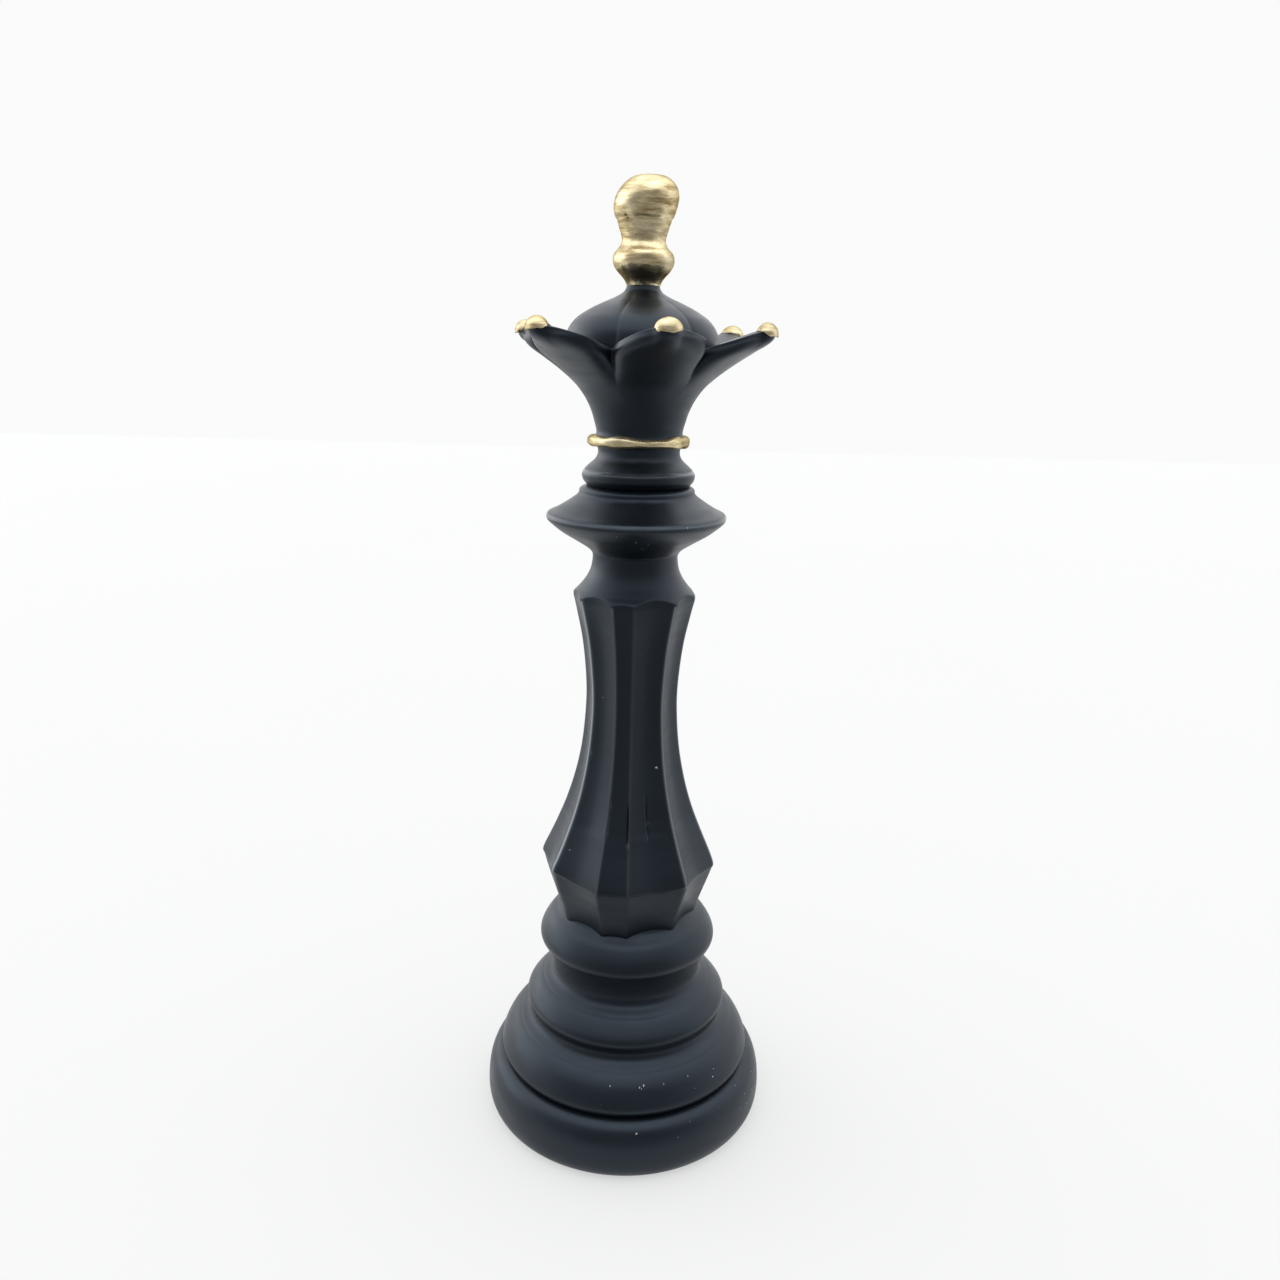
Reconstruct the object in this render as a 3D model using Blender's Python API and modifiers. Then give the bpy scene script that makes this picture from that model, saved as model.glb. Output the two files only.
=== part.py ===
"""Ornamental chess queen, 330 mm tall: a stack of castings clamped on one M6 tie rod.

Blender 4.5, metres, +Z up. The origin is on the queen's axis, where the felt pad meets
the table, and one of the six crown points faces -Y. Lengths are written in millimetres
and become metres where a mesh is made. Outlines are (radius, height) pairs.
"""

import math

import bmesh
import bpy
from mathutils import Matrix

MM = 0.001
GAP = 0.3  # between two faces that touch
TURNED_STEPS = 28
ROD_STEPS = 12

# Driving heights: the joints between the castings, from the table up.
TOTAL_HEIGHT = 330.0
FELT_THICKNESS = 1.5
FOOT_BOTTOM = 0.5
FOOT_JOINT = 21.0
TIER_JOINT = 35.8
TORUS_JOINT = 52.4
COLUMN_JOINT = 80.4
SAUCER_JOINT = 211.0
BEAD_JOINT = 233.8
CROWN_JOINT = 248.4
DOME_SEAT = 275.3
FINIAL_JOINT = 297.0

# Driving radii.
FOOT_RADIUS = 51.8
FELT_RADIUS = 45.5
PLATE_RADIUS = 45.5
PLATE_THICKNESS = 12.0
FOOT_BORE = 40.0
TIER_BORE = 32.0
SPIGOT_LENGTH = 3.0
LOWER_SPIGOT = 12.0  # torus and column
UPPER_SPIGOT = 8.0  # saucer, bead and crown

# The tie rod with its nuts and washers, and the stud that holds the finial.
ROD_RADIUS = 3.0
ROD_HOLE = 3.4
ROD_BOTTOM = 2.2
ROD_TOP = 272.0
NUT_ACROSS_FLATS = 10.0
NUT_HEIGHT = 5.0
WASHER_RADIUS = 8.0
WASHER_THICKNESS = 1.6
COUNTERBORE_RADIUS = 10.0
COUNTERBORE_DEPTH = 7.5
STUD_RADIUS = 2.5
STUD_HOLE = 2.8
STUD_BOTTOM = 279.0
STUD_TOP = 311.0
STUD_NUT_ACROSS_FLATS = 8.0
STUD_NUT_HEIGHT = 4.0
BOSS_BOTTOM = 286.0

# The flutes are cut by hand: the directions of the ridges between them, in degrees from -Y.
RIDGES = (-105, -68, -30, -10, 30, 69, 107, 145, 183, 221)
FLUTE_HOLLOW = 0.016  # how far a flute is hollowed below a flat facet, as a share of the radius

# The crown's six points and the dome's six lobes share one pattern.
POINTS = 6
POINT_ANGLE = 2 * math.pi / POINTS
BOWL_FLOOR = 262.0
VALLEY_RADIUS = 26.3
VALLEY_HEIGHT = 277.2
TIP_START = 40.4  # where a gilt tip takes over from the crown's point
TIP_END = 44.6
TIP_HALF_WIDTH = 4.4
TIP_HEIGHT = 284.7
TIP_THICKNESS = 5.2
TIP_RISE = math.radians(20)
ARM_THICKNESS = 4.0
KEEL = 1.5  # how far the middle of an arm hangs below its sides
LOBE_DEPTH = 0.05  # how deep a crease cuts into the dome, as a share of the radius

BLACK = ("black_resin", (0.032, 0.036, 0.043, 1), 0.55, 0.0)
GOLD = ("gold_paint", (0.72, 0.56, 0.30, 1), 0.38, 0.9)
STEEL = ("zinc_steel", (0.62, 0.63, 0.65, 1), 0.35, 1.0)
IRON = ("cast_iron", (0.11, 0.11, 0.12, 1), 0.75, 0.6)
BOARD = ("fibreboard", (0.42, 0.29, 0.17, 1), 0.85, 0.0)
FELT = ("felt", (0.03, 0.03, 0.035, 1), 1.0, 0.0)


# ---------------------------------------------------------------- helpers


def material_for(finish):
    """The Principled material of a finish, made once."""
    name, colour, roughness, metallic = finish
    material = bpy.data.materials.get(name)
    if material is None:
        material = bpy.data.materials.new(name)
        material.use_nodes = True
        shader = material.node_tree.nodes["Principled BSDF"]
        shader.inputs["Base Color"].default_value = colour
        shader.inputs["Roughness"].default_value = roughness
        shader.inputs["Metallic"].default_value = metallic
    return material


def add_object(name, mesh, finish):
    """A shaded object for a finished mesh, in the queen's collection."""
    mesh.materials.append(material_for(finish))
    mesh.shade_smooth()
    mesh.set_sharp_from_angle(angle=math.radians(35))
    piece = bpy.data.objects.new(name, mesh)
    bpy.data.collections["chess_queen"].objects.link(piece)
    return piece


def mesh_from(name, bm):
    mesh = bpy.data.meshes.new(name)
    bm.to_mesh(mesh)
    bm.free()
    return mesh


def value_at(outline, height):
    """The radius of an outline of (radius, height) pairs, rising, at a height."""
    for (r0, z0), (r1, z1) in zip(outline, outline[1:]):
        if height <= z1:
            return r0 + (r1 - r0) * (height - z0) / (z1 - z0)
    return outline[-1][0]


def turned(name, outline, finish, on_axis=False, steps=TURNED_STEPS):
    """A body of revolution from an outline that runs down its outer side and up its bore."""
    bm = bmesh.new()
    corners = [bm.verts.new((radius * MM, 0, height * MM)) for radius, height in outline]
    for start, end in zip(corners, corners[1:]):
        bm.edges.new((start, end))
    if not on_axis:
        bm.edges.new((corners[-1], corners[0]))
    piece = add_object(name, mesh_from(name, bm), finish)
    screw = piece.modifiers.new("turn", "SCREW")
    screw.axis = "Z"
    screw.steps = steps
    screw.render_steps = steps
    screw.use_merge_vertices = True
    screw.merge_threshold = 0.00001
    screw.use_smooth_shade = True
    return piece


def lofted(name, rings, finish):
    """A ring-shaped body whose sections, lists of points in order, follow one another round."""
    bm = bmesh.new()
    rows = [[bm.verts.new([c * MM for c in point]) for point in ring] for ring in rings]
    for row, following in zip(rows, rows[1:] + rows[:1]):
        for a, b, c, d in zip(row, row[1:] + row[:1], following[1:] + following[:1], following):
            bm.faces.new((a, b, c, d))
    bmesh.ops.recalc_face_normals(bm, faces=bm.faces)
    return add_object(name, mesh_from(name, bm), finish)


def at(angle, radius, height):
    """A point at an angle from -Y towards +X."""
    return (radius * math.sin(angle), -radius * math.cos(angle), height)


def circles(angles, outline):
    """Round sections for the hidden side of a loft, from (radius, height) pairs."""
    return [[at(angle, radius, height) for angle in angles] for radius, height in outline]


def hexagon_nut(name, across_flats, height, hole, bottom):
    """A hexagon nut with a plain hole, standing on the height given."""
    angles = [math.pi / 6 * step for step in range(12)]
    flat = across_flats / 2
    outer = [flat if step % 2 else flat / math.cos(math.pi / 6) for step in range(12)]
    rings = []
    for level in (bottom + height, bottom):
        rings.append([at(angle, radius, level) for angle, radius in zip(angles, outer)])
    rings += circles(angles, [(hole, bottom), (hole, bottom + height)])
    return lofted(name, rings, STEEL)


# ---------------------------------------------------------------- base


def felt_pad():
    turned("felt_pad", [
        (0, FELT_THICKNESS), (FELT_RADIUS, FELT_THICKNESS), (FELT_RADIUS, 0), (0, 0),
    ], FELT, on_axis=True)


def base_plate():
    """The fibreboard disc that the tie rod pulls up into the foot's rebate."""
    bottom = FELT_THICKNESS + GAP
    top = bottom + PLATE_THICKNESS
    web = bottom + COUNTERBORE_DEPTH
    turned("base_plate", [
        (PLATE_RADIUS, top), (PLATE_RADIUS, bottom), (COUNTERBORE_RADIUS, bottom),
        (COUNTERBORE_RADIUS, web), (ROD_HOLE, web), (ROD_HOLE, top),
    ], BOARD)


def foot_ring():
    """The lowest step, a plain ring with a rebate for the base plate."""
    outer = [
        (44.2, FOOT_JOINT - GAP / 2), (46.7, 19.8), (48.9, 17.6), (50.6, 14.7), (51.6, 11.4),
        (FOOT_RADIUS, 8.0), (51.6, 4.8), (50.6, 2.4), (48.0, FOOT_BOTTOM),
    ]
    ledge = FELT_THICKNESS + PLATE_THICKNESS + 2 * GAP
    rebate = PLATE_RADIUS + GAP
    turned("foot_ring", outer + [
        (rebate, FOOT_BOTTOM), (rebate, ledge), (FOOT_BORE, ledge), (FOOT_BORE, FOOT_JOINT - GAP / 2),
    ], BLACK)


def lower_tier():
    """The lower bulging step, with a spigot ring that drops into the foot ring."""
    bottom = FOOT_JOINT + GAP / 2
    top = TIER_JOINT - GAP / 2
    outer = [
        (35.4, top), (38.5, 34.5), (41.2, 32.4), (43.6, 29.6), (45.4, 26.8), (46.5, 24.3),
        (45.9, 22.4), (44.6, bottom),
    ]
    turned("lower_tier", outer + [
        (FOOT_BORE - GAP, bottom), (FOOT_BORE - GAP, bottom - SPIGOT_LENGTH),
        (36.3, bottom - SPIGOT_LENGTH), (36.3, 26.0), (TIER_BORE, 30.0), (TIER_BORE, top),
    ], BLACK)


def upper_tier():
    """The upper bulging step. Its web carries the torus, and its spigot ring drops into the lower tier."""
    bottom = TIER_JOINT + GAP / 2
    top = TORUS_JOINT - GAP / 2
    outer = [
        (26.6, top), (29.0, 50.7), (31.5, 48.3), (34.3, 45.2), (36.6, 42.3), (37.7, 39.8),
        (37.2, 37.6), (35.9, bottom),
    ]
    recess = top - SPIGOT_LENGTH - GAP
    turned("upper_tier", outer + [
        (TIER_BORE - GAP, bottom), (TIER_BORE - GAP, bottom - SPIGOT_LENGTH),
        (28.0, bottom - SPIGOT_LENGTH), (26.0, 43.0), (ROD_HOLE, 43.0), (ROD_HOLE, recess),
        (LOWER_SPIGOT + GAP, recess), (LOWER_SPIGOT + GAP, top),
    ], BLACK)


def ballast_weight():
    """The stepped iron weight that keeps the centre of mass low."""
    bottom = FELT_THICKNESS + PLATE_THICKNESS + 2 * GAP
    top = 42.5
    turned("ballast_weight", [
        (25.5, top), (27.5, 30.0), (27.5, 24.0), (35.8, 22.0), (35.8, bottom),
        (ROD_HOLE, bottom), (ROD_HOLE, top),
    ], IRON)


def torus_ring():
    """The cushion-shaped ring under the column."""
    bottom = TORUS_JOINT + GAP / 2
    top = COLUMN_JOINT - GAP / 2
    outer = [
        (25.0, top), (26.6, 78.6), (28.6, 75.6), (31.0, 71.8), (32.2, 67.8), (31.4, 63.6),
        (29.5, 59.8), (28.2, 56.6), (26.9, bottom),
    ]
    recess = top - SPIGOT_LENGTH - GAP
    turned("torus_ring", outer + [
        (LOWER_SPIGOT, bottom), (LOWER_SPIGOT, bottom - SPIGOT_LENGTH),
        (ROD_HOLE, bottom - SPIGOT_LENGTH), (ROD_HOLE, recess),
        (LOWER_SPIGOT + GAP, recess), (LOWER_SPIGOT + GAP, top),
    ], BLACK)


# ---------------------------------------------------------------- column


def flute_points():
    """Four points a flute: (angle, how deep the flute is there as a share of the radius)."""
    points = []
    for start, end in zip(RIDGES, RIDGES[1:] + (RIDGES[0] + 360,)):
        half = math.radians(end - start) / 2
        middle = math.radians(start + end) / 2
        for off in (-1, -0.5, 0, 0.5):
            flat = 1 - math.cos(half) / math.cos(off * half)
            points.append((middle + off * half, flat + FLUTE_HOLLOW * (1 - off**2)))
    return points


def fluted_column():
    """The fluted shaft, its undercut skirt and the round neck above it."""
    bottom = COLUMN_JOINT + GAP / 2
    top = SAUCER_JOINT - GAP / 2
    fluted = [
        (25.0, bottom), (26.5, 85.0), (28.4, 90.0), (31.8, 97.4), (31.6, 99.0), (30.0, 103.5),
        (26.3, 112.0), (23.0, 120.5), (20.3, 129.5), (18.2, 139.5), (17.0, 149.5), (16.5, 160.0),
        (17.0, 170.0), (18.2, 180.5), (20.1, 190.0), (21.4, 196.6),
    ]
    neck = [(21.4, 197.2), (19.4, 199.8), (17.3, 202.4), (15.7, 205.4), (14.8, top)]
    points = flute_points()
    rings = []
    for radius, height in fluted:
        rings.append([at(angle, radius * (1 - depth), height) for angle, depth in points])
    recess = top - SPIGOT_LENGTH - GAP
    rings += circles([angle for angle, _ in points], neck + [
        (UPPER_SPIGOT + GAP, top), (UPPER_SPIGOT + GAP, recess), (ROD_HOLE, recess),
        (ROD_HOLE, 200.0), (10.0, 194.0), (10.0, 92.0), (ROD_HOLE, 86.0),
        (ROD_HOLE, bottom - SPIGOT_LENGTH), (LOWER_SPIGOT, bottom - SPIGOT_LENGTH),
        (LOWER_SPIGOT, bottom),
    ])
    lofted("fluted_column", rings, BLACK)


def saucer_collar():
    """The wide thin-edged collar."""
    bottom = SAUCER_JOINT + GAP / 2
    top = BEAD_JOINT - GAP / 2
    outer = [
        (17.6, top), (20.0, 230.4), (23.1, 228.0), (27.0, 225.8), (29.9, 224.4), (30.4, 223.1),
        (29.2, 221.2), (25.2, 218.2), (20.2, 215.2), (16.4, 212.8), (14.9, bottom),
    ]
    turned("saucer_collar", outer + [
        (UPPER_SPIGOT, bottom), (UPPER_SPIGOT, bottom - SPIGOT_LENGTH),
        (ROD_HOLE, bottom - SPIGOT_LENGTH), (ROD_HOLE, top - SPIGOT_LENGTH - GAP),
        (UPPER_SPIGOT + GAP, top - SPIGOT_LENGTH - GAP), (UPPER_SPIGOT + GAP, top),
    ], BLACK)


def bead_collar():
    """The small bead above the saucer and the neck that the gilt ring sits on."""
    bottom = BEAD_JOINT + GAP / 2
    top = CROWN_JOINT - GAP / 2
    outer = [
        (13.9, top), (13.5, 244.6), (14.4, 242.2), (16.8, 240.2), (18.7, 238.3), (18.9, 236.4),
        (17.8, bottom),
    ]
    turned("bead_collar", outer + [
        (UPPER_SPIGOT, bottom), (UPPER_SPIGOT, bottom - SPIGOT_LENGTH),
        (ROD_HOLE, bottom - SPIGOT_LENGTH), (ROD_HOLE, top - SPIGOT_LENGTH - GAP),
        (UPPER_SPIGOT + GAP, top - SPIGOT_LENGTH - GAP), (UPPER_SPIGOT + GAP, top),
    ], BLACK)


def neck_ring():
    """The thin gilt ring over the joint between the bead collar and the crown."""
    inner, outer, middle, half = 14.3, 17.0, CROWN_JOINT, 1.8
    turned("neck_ring", [
        (inner, middle + half), (outer - 1.2, middle + half), (outer, middle + half / 3),
        (outer, middle - half / 3), (outer - 1.2, middle - half), (inner, middle - half),
    ], GOLD)


# ---------------------------------------------------------------- crown

# Undersides of the crown along the middle of a point and along a valley, rising.
POINT_UNDERSIDE = [
    (13.9, 248.55), (14.0, 250.5), (14.8, 252.0), (15.1, 254.5), (16.2, 258.0), (18.2, 262.0),
    (21.2, 266.0), (25.8, 270.0), (31.4, 274.0), (37.4, 278.0), (41.6, 281.0),
]
VALLEY_UNDERSIDE = [
    (13.9, 248.55), (14.0, 250.5), (14.8, 252.0), (15.1, 254.5), (16.1, 258.0), (17.6, 262.0),
    (19.4, 266.0), (21.7, 270.0), (24.2, 274.0), (VALLEY_RADIUS, VALLEY_HEIGHT - 0.4),
]


def point_angles():
    """(angle, how far it is from the middle of its point to the valley, from 0 to 1)."""
    corner = math.atan2(TIP_HALF_WIDTH, TIP_START) / (POINT_ANGLE / 2)
    offsets = (-1, -0.75, -0.45, -corner, 0, corner, 0.45, 0.75)
    return [
        ((number + offset / 2) * POINT_ANGLE, abs(offset))
        for number in range(POINTS)
        for offset in offsets
    ]


def rim_radius(share):
    """The plan of the crown's rim: a flat end where the tip sits, then a full edge to the valley."""
    angle = share * POINT_ANGLE / 2
    half = POINT_ANGLE / 2
    corner = (TIP_START, TIP_HALF_WIDTH)
    valley = (VALLEY_RADIUS * math.cos(half), VALLEY_RADIUS * math.sin(half))
    run = (valley[0] - corner[0], valley[1] - corner[1])
    edge = (corner[0] * run[1] - corner[1] * run[0]) / (
        math.cos(angle) * run[1] - math.sin(angle) * run[0])
    fullness = 1.8 * math.sin(math.pi * share) ** 2
    return min(TIP_START / math.cos(angle), edge + fullness)


def along_arm(share):
    """0 at the valley and 1 at the tip."""
    return max(0.0, (rim_radius(share) - VALLEY_RADIUS) / (TIP_START - VALLEY_RADIUS))


def rim_height(share):
    """The upper edge of the rim, lowest in the valleys."""
    return VALLEY_HEIGHT + (TIP_HEIGHT - VALLEY_HEIGHT) * along_arm(share) ** 0.8


def crown_outside(share, level):
    """(radius, height) on the outside, from 0 at the neck to 1 at the rim's lower edge."""
    low = POINT_UNDERSIDE[0][1]
    side = min(1.0, share / 0.2)
    thickness = 0.6 + (ARM_THICKNESS - 0.6 - KEEL * side) * along_arm(share)
    height = low + (rim_height(share) - thickness - low) * level
    point = value_at(POINT_UNDERSIDE, height)
    valley = value_at(VALLEY_UNDERSIDE, height)
    free = valley + (point - valley) * (1 - share**2)
    # Near the rim the outside is drawn to the rim's own plan.
    pull = max(0.0, (level - 0.75) / 0.25) ** 1.5
    return free + (rim_radius(share) - free) * pull, height


def crown_cup():
    """The flared cup: a round neck opens into six points round the dome's seat."""
    points = point_angles()
    rings = []
    for level in (0.0, 0.08, 0.2, 0.38, 0.55, 0.7, 0.8, 0.9, 1.0):
        rings.append([at(angle, *crown_outside(share, level)) for angle, share in points])
    rings.append([at(angle, rim_radius(share) - 0.2, rim_height(share)) for angle, share in points])
    shoulder = DOME_SEAT + 0.8
    rings.append([
        at(angle, (rim_radius(share) + 26.0) / 2, (rim_height(share) + shoulder) / 2)
        for angle, share in points
    ])
    low = CROWN_JOINT + GAP / 2
    rings += circles([angle for angle, _ in points], [
        (25.9, shoulder), (25.8, DOME_SEAT), (19.7, DOME_SEAT), (11.0, BOWL_FLOOR),
        (ROD_HOLE, BOWL_FLOOR), (ROD_HOLE, low - SPIGOT_LENGTH),
        (UPPER_SPIGOT, low - SPIGOT_LENGTH), (UPPER_SPIGOT, low),
    ])
    lofted("crown_cup", rings, BLACK)


def crown_dome():
    """The lobed dome over the crown's bowl. Its creases meet the valleys between the points."""
    top = FINIAL_JOINT - GAP / 2
    outer = [
        (25.3, DOME_SEAT + GAP), (25.2, 279.0), (24.5, 283.0), (21.7, 286.6), (17.6, 289.2),
        (13.2, 291.2), (9.0, 292.9), (6.2, 294.6), (5.2, top),
    ]
    offsets = [-1 + step / 3 for step in range(6)]
    angles = [(number + off / 2) * POINT_ANGLE for number in range(POINTS) for off in offsets]
    rings = []
    for radius, height in outer:
        depth = LOBE_DEPTH * min(1.0, (radius - 5.0) / 8.0)
        rings.append([
            at(angle, radius * (1 - depth * abs(offset) ** 3), height)
            for angle, offset in zip(angles, offsets * POINTS)
        ])
    rings += circles(angles, [
        (STUD_HOLE, top), (STUD_HOLE, BOSS_BOTTOM), (7.0, BOSS_BOTTOM), (16.0, 282.5),
        (20.0, DOME_SEAT + GAP),
    ])
    lofted("crown_dome", rings, BLACK)


def crown_tips():
    """The six gilt nubs that end the crown's points, each a rounded block laid along its point."""
    length = (TIP_END - TIP_START - GAP) / math.cos(TIP_RISE)
    for number in range(POINTS):
        name = f"crown_tip_{number + 1}"
        bm = bmesh.new()
        bmesh.ops.create_cube(bm, size=1.0)
        size = Matrix.Diagonal((2 * TIP_HALF_WIDTH - 0.4, length, TIP_THICKNESS, 1))
        bmesh.ops.transform(bm, matrix=Matrix.Scale(MM, 4) @ size, verts=bm.verts)
        piece = add_object(name, mesh_from(name, bm), GOLD)
        angle = number * POINT_ANGLE
        middle = (TIP_START + GAP + TIP_END) / 2
        place = Matrix.Translation([c * MM for c in at(angle, middle, TIP_HEIGHT)])
        turn = Matrix.Rotation(angle, 4, "Z") @ Matrix.Rotation(-TIP_RISE, 4, "X")
        piece.matrix_world = place @ turn
        bevel = piece.modifiers.new("round", "BEVEL")
        bevel.width = 1.7 * MM
        bevel.segments = 1
        bevel.limit_method = "NONE"


def finial():
    """The gilt knob: a bead, a waist and a ball, threaded on the stud."""
    outer = [
        (0, TOTAL_HEIGHT), (5.2, 329.2), (8.2, 327.2), (9.9, 324.2), (10.1, 321.2), (9.2, 318.4),
        (7.8, 314.4), (7.1, 310.4), (8.4, 306.8), (9.7, 304.4), (9.3, 302.0), (7.4, 299.8),
        (5.2, FINIAL_JOINT + GAP / 2),
    ]
    hole_end = STUD_TOP + GAP
    turned("finial", outer + [
        (STUD_HOLE, FINIAL_JOINT + GAP / 2), (STUD_HOLE, hole_end), (0, hole_end + 1.2),
    ], GOLD, on_axis=True, steps=24)


# ---------------------------------------------------------------- rods and fasteners


def rod(name, radius, bottom, top):
    chamfer = 0.4
    turned(name, [
        (0, top), (radius - chamfer, top), (radius, top - chamfer), (radius, bottom + chamfer),
        (radius - chamfer, bottom), (0, bottom),
    ], STEEL, on_axis=True, steps=ROD_STEPS)


def washer(name, bottom):
    top = bottom + WASHER_THICKNESS
    turned(name, [
        (WASHER_RADIUS, top), (WASHER_RADIUS, bottom), (ROD_HOLE, bottom), (ROD_HOLE, top),
    ], STEEL, steps=ROD_STEPS)


def fasteners():
    """The tie rod from the base plate to the crown's bowl, and the stud that holds the finial."""
    rod("tie_rod", ROD_RADIUS, ROD_BOTTOM, ROD_TOP)
    web = FELT_THICKNESS + GAP + COUNTERBORE_DEPTH
    lower_washer = web - GAP - WASHER_THICKNESS
    washer("lower_washer", lower_washer)
    hexagon_nut("lower_nut", NUT_ACROSS_FLATS, NUT_HEIGHT, ROD_HOLE, lower_washer - GAP - NUT_HEIGHT)
    upper_washer = BOWL_FLOOR + GAP
    washer("upper_washer", upper_washer)
    hexagon_nut("upper_nut", NUT_ACROSS_FLATS, NUT_HEIGHT, ROD_HOLE,
                upper_washer + WASHER_THICKNESS + GAP)
    rod("finial_stud", STUD_RADIUS, STUD_BOTTOM, STUD_TOP)
    hexagon_nut("finial_nut", STUD_NUT_ACROSS_FLATS, STUD_NUT_HEIGHT, STUD_HOLE,
                BOSS_BOTTOM - GAP - STUD_NUT_HEIGHT)


def main():
    for old in list(bpy.data.objects):
        bpy.data.objects.remove(old)
    collection = bpy.data.collections.new("chess_queen")
    bpy.context.scene.collection.children.link(collection)
    for make in (
        felt_pad, base_plate, foot_ring, lower_tier, upper_tier, ballast_weight, torus_ring,
        fluted_column, saucer_collar, bead_collar, neck_ring, crown_cup, crown_dome, crown_tips,
        finial, fasteners,
    ):
        make()


main()
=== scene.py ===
"""Looks of the ornamental chess queen: satin black castings with hand-brushed gold.

Lengths are written in millimetres in the row frame and become metres where a mesh is made.
Outlines are (radius, height) pairs. Angles run from -Y, where the front crown point is,
towards +X, and are written in degrees.
"""

import math

import bmesh
import bpy
from mathutils import Matrix, Vector, noise


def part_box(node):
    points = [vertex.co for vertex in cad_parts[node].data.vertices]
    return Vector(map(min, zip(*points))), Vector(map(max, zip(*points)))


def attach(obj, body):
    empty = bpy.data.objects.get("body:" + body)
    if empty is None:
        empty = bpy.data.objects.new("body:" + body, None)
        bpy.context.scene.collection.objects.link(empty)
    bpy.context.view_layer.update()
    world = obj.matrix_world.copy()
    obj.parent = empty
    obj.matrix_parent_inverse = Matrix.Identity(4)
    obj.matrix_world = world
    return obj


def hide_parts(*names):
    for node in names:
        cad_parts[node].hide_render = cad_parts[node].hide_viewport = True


MM = 0.001
GAP = 0.3  # between touching CAD nodes; the seen castings close up
SINK = 0.25  # how far a casting sits down into the one below it
AROUND = 180  # columns of faces round a turned piece
DRIFT_PER_MM = 0.03  # how fast the hand-made unevenness changes with height

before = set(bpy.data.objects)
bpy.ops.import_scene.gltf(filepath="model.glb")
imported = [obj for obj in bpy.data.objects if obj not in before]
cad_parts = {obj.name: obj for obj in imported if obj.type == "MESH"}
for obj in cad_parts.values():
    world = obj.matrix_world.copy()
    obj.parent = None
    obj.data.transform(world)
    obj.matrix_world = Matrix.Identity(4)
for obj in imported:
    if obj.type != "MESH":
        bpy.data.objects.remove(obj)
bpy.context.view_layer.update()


def joint_above(node):
    """The plane where the next casting sits on a CAD node, in millimetres."""
    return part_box(node)[1].z / MM + GAP / 2


FOOT_JOINT = joint_above("foot_ring")
TIER_JOINT = joint_above("lower_tier")
TORUS_JOINT = joint_above("upper_tier")
COLUMN_JOINT = joint_above("torus_ring")
SAUCER_JOINT = joint_above("fluted_column")
BEAD_JOINT = joint_above("saucer_collar")
CROWN_JOINT = joint_above("bead_collar")
FINIAL_JOINT = joint_above("crown_dome")
TOTAL_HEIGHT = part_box("finial")[1].z / MM
FOOT_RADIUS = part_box("foot_ring")[1].x / MM

# Bores and spigots of the castings, as the CAD has them.
FOOT_BORE = 40.0
TIER_BORE = 32.0
LOWER_SPIGOT = 12.0
UPPER_SPIGOT = 8.0
SPIGOT_LENGTH = 3.0
ROD_HOLE = 3.4
STUD_HOLE = 2.8
PLATE_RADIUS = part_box("base_plate")[1].x / MM
PLATE_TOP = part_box("base_plate")[1].z / MM
DOME_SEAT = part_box("crown_dome")[0].z / MM - GAP
BOWL_FLOOR = 262.0

# The photograph's viewpoint, from the queen's axis.
VIEW_TURN = 10.6
LEFT = Vector((-math.cos(math.radians(VIEW_TURN)), math.sin(math.radians(VIEW_TURN)), 0))


# ---------------------------------------------------------------- shape helpers


def at(angle, radius, height, shift=(0, 0)):
    """A point at an angle in degrees from -Y towards +X."""
    turn = math.radians(angle)
    return (radius * math.sin(turn) + shift[0], -radius * math.cos(turn) + shift[1], height)


def evenly(count):
    """Directions all round, equally far apart."""
    return [360 * number / count for number in range(count)]


def leftwards(distance):
    """A sideways shift towards the photograph's left."""
    return (LEFT.x * distance, LEFT.y * distance)


def between(pairs, place):
    """The value at a place in a list of (place, value) pairs, joined by straight lines."""
    if place <= pairs[0][0]:
        return pairs[0][1]
    for (p0, v0), (p1, v1) in zip(pairs, pairs[1:]):
        if place <= p1:
            return v0 + (v1 - v0) * (place - p0) / (p1 - p0)
    return pairs[-1][1]


def smooth_step(low, high, value):
    """0 below the range and 1 above it, with a smooth rise in between."""
    share = min(1.0, max(0.0, (value - low) / (high - low)))
    return share * share * (3 - 2 * share)


def spline(before, start, end, after, t):
    """A Catmull-Rom curve from start to end."""
    return 0.5 * (2 * start + (end - before) * t
                  + (2 * before - 5 * start + 4 * end - after) * t * t
                  + (3 * (start - end) + after - before) * t ** 3)


def curve_through(points, step=0.7):
    """Points close together on a smooth curve through the given ones."""
    padded = [points[0], *points, points[-1]]
    result = []
    for quad in zip(padded, padded[1:], padded[2:], padded[3:]):
        count = max(2, round(math.dist(quad[1], quad[2]) / step))
        for number in range(count):
            result.append(tuple(spline(*values, number / count) for values in zip(*quad)))
    result.append(tuple(points[-1]))
    return result


def smooth_table(pairs):
    """A table of pairs made dense along a smooth curve through them."""
    return curve_through(pairs, step=(pairs[-1][0] - pairs[0][0]) / 80)


def drift(angle, height, seed, scale=1.0):
    """Smooth noise round the axis, from -1 to 1."""
    turn = math.radians(angle)
    place = Vector((math.sin(turn), -math.cos(turn), height * DRIFT_PER_MM)) * scale
    return noise.noise(place + Vector((seed, seed * 0.37, 1.7)))


def add_piece(name, mesh, material, node):
    """Links a finished mesh, which rides on the root body and stands for its CAD node."""
    mesh.materials.append(material)
    mesh.shade_smooth()
    piece = bpy.data.objects.new(name, mesh)
    bpy.context.scene.collection.objects.link(piece)
    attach(piece, "root")
    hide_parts(node)


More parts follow.
